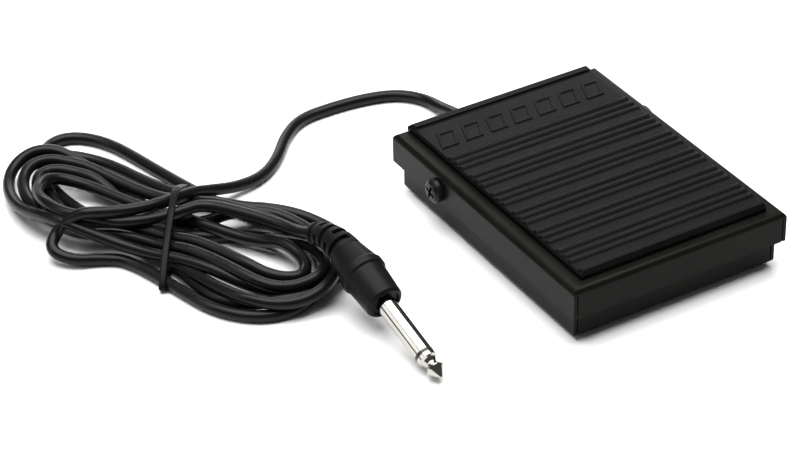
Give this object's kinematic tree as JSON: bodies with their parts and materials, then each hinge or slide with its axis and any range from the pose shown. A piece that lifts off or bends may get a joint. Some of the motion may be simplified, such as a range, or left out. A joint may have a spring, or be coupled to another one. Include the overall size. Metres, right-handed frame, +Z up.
{
  "type": "sustain pedal",
  "caption": "Small foot pedal with a hinged ribbed treadle, a sprung momentary switch and a tied cord that ends in a jack plug.",
  "frame": {"origin": "on the floor under the middle of the pedal", "axes": "+Z up, -Y towards the toe end that is pressed, +Y towards the hinge and the cord's exit, +X to the player's right"},
  "size_m": [0.1974, 0.1902, 0.0236],
  "materials": {
    "black_steel": "satin black powder coat",
    "black_rubber": "matt black moulded rubber",
    "black_screw": "black oxide steel",
    "nylon": "natural nylon",
    "zinc_steel": "bright zinc plated steel",
    "spring_steel": "bare spring steel",
    "switch_plastic": "black phenolic",
    "plunger_plastic": "red acetal",
    "tinned_brass": "tinned brass",
    "cord_vinyl": "black soft vinyl, satin",
    "plug_vinyl": "black moulded vinyl",
    "tie_plastic": "black plastic",
    "wire_white": "white insulation",
    "nickel": "polished nickel plate"
  },
  "bodies": {
    "base": {"base_tray": "black_steel", "base_mat": "black_rubber", "pivot_screws": "black_screw", "pivot_washers": "nylon", "pivot_nuts": "zinc_steel", "rear_stop_strip": "black_rubber", "down_stop_bumpers": "black_rubber", "return_spring": "spring_steel", "switch_body": "switch_plastic", "switch_lever_pin": "spring_steel", "switch_terminals": "tinned_brass", "switch_bracket": "zinc_steel", "switch_screws": "zinc_steel", "switch_nuts": "zinc_steel", "bracket_rivets": "zinc_steel", "cord_clamp_block": "nylon", "cord_clamp_strap": "nylon", "clamp_screws": "zinc_steel", "inner_cable": "cord_vinyl", "signal_wire": "wire_white", "return_wire": "cord_vinyl", "cord_grommet": "cord_vinyl", "cord_feed": "cord_vinyl", "cord_hank": "cord_vinyl", "cord_tie": "tie_plastic", "cord_lead": "cord_vinyl", "plug_boot": "plug_vinyl", "plug_grip": "plug_vinyl", "plug_sleeve": "nickel", "plug_insulator": "switch_plastic", "plug_tip": "nickel", "spring_seat": "nylon"},
    "treadle": {"treadle_cover": "black_steel", "tread_pad": "black_rubber", "actuator_post": "nylon", "spring_cap": "nylon"},
    "switch_lever": {"switch_lever": "spring_steel"},
    "switch_plunger": {"switch_plunger": "plunger_plastic"}
  },
  "joints": [
    {"name": "treadle_hinge", "type": "hinge", "parent": "base", "child": "treadle", "pos_m": [0, 0.0252, 0.0145], "axis": [1, 0, 0], "range_deg": [0, 3.5], "stiffness_Nm_per_rad": 3.25, "springref_deg": -7.05, "deforming": ["return_spring"]},
    {"name": "switch_lever_hinge", "type": "hinge", "parent": "base", "child": "switch_lever", "pos_m": [0.01, 0.005, 0.01365], "axis": [1, 0, 0], "range_deg": [0, 9.83]},
    {"name": "switch_plunger_slide", "type": "slide", "parent": "base", "child": "switch_plunger", "axis": [0, 0, 1], "range_m": [-0.0007, 0]}
  ],
  "couplings": [
    {"joint": "switch_lever_hinge", "follows": "treadle_hinge", "ratio": 2.8068},
    {"joint": "switch_plunger_slide", "follows": "treadle_hinge", "m_per_rad": -0.011338}
  ]
}
